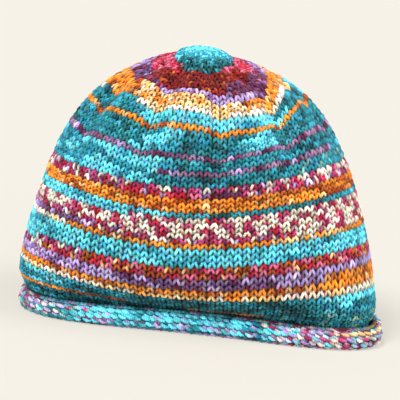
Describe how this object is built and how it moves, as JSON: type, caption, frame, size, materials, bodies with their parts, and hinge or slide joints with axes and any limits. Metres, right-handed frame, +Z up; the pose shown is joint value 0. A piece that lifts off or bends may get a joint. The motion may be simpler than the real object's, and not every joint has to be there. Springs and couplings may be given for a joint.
{
  "type": "baby knit hat",
  "caption": "Baby's hand-knitted hat with a soft domed crown of striped and flecked sock yarn, a rolled brim and a small gathered knob on top; it stands open on its brim.",
  "frame": {"origin": "middle of the underside of the rolled brim, on the surface that the hat stands on", "axes": "+Z up from the brim to the knob, +X across the hat to the right of the picture, -Y the pictured front"},
  "size_m": [0.1588, 0.0942, 0.1186],
  "materials": {
    "brim_knit": "knitted wool, wrong side out, turquoise with lilac and crimson flecks",
    "crown_knit": "knitted wool, smooth side out, turquoise, orange, plum and cream stripes and flecks",
    "knob_knit": "knitted wool, gathered, turquoise"
  },
  "bodies": {
    "root": {"brim": "brim_knit", "crown": "crown_knit", "knob": "knob_knit"}
  },
  "joints": []
}
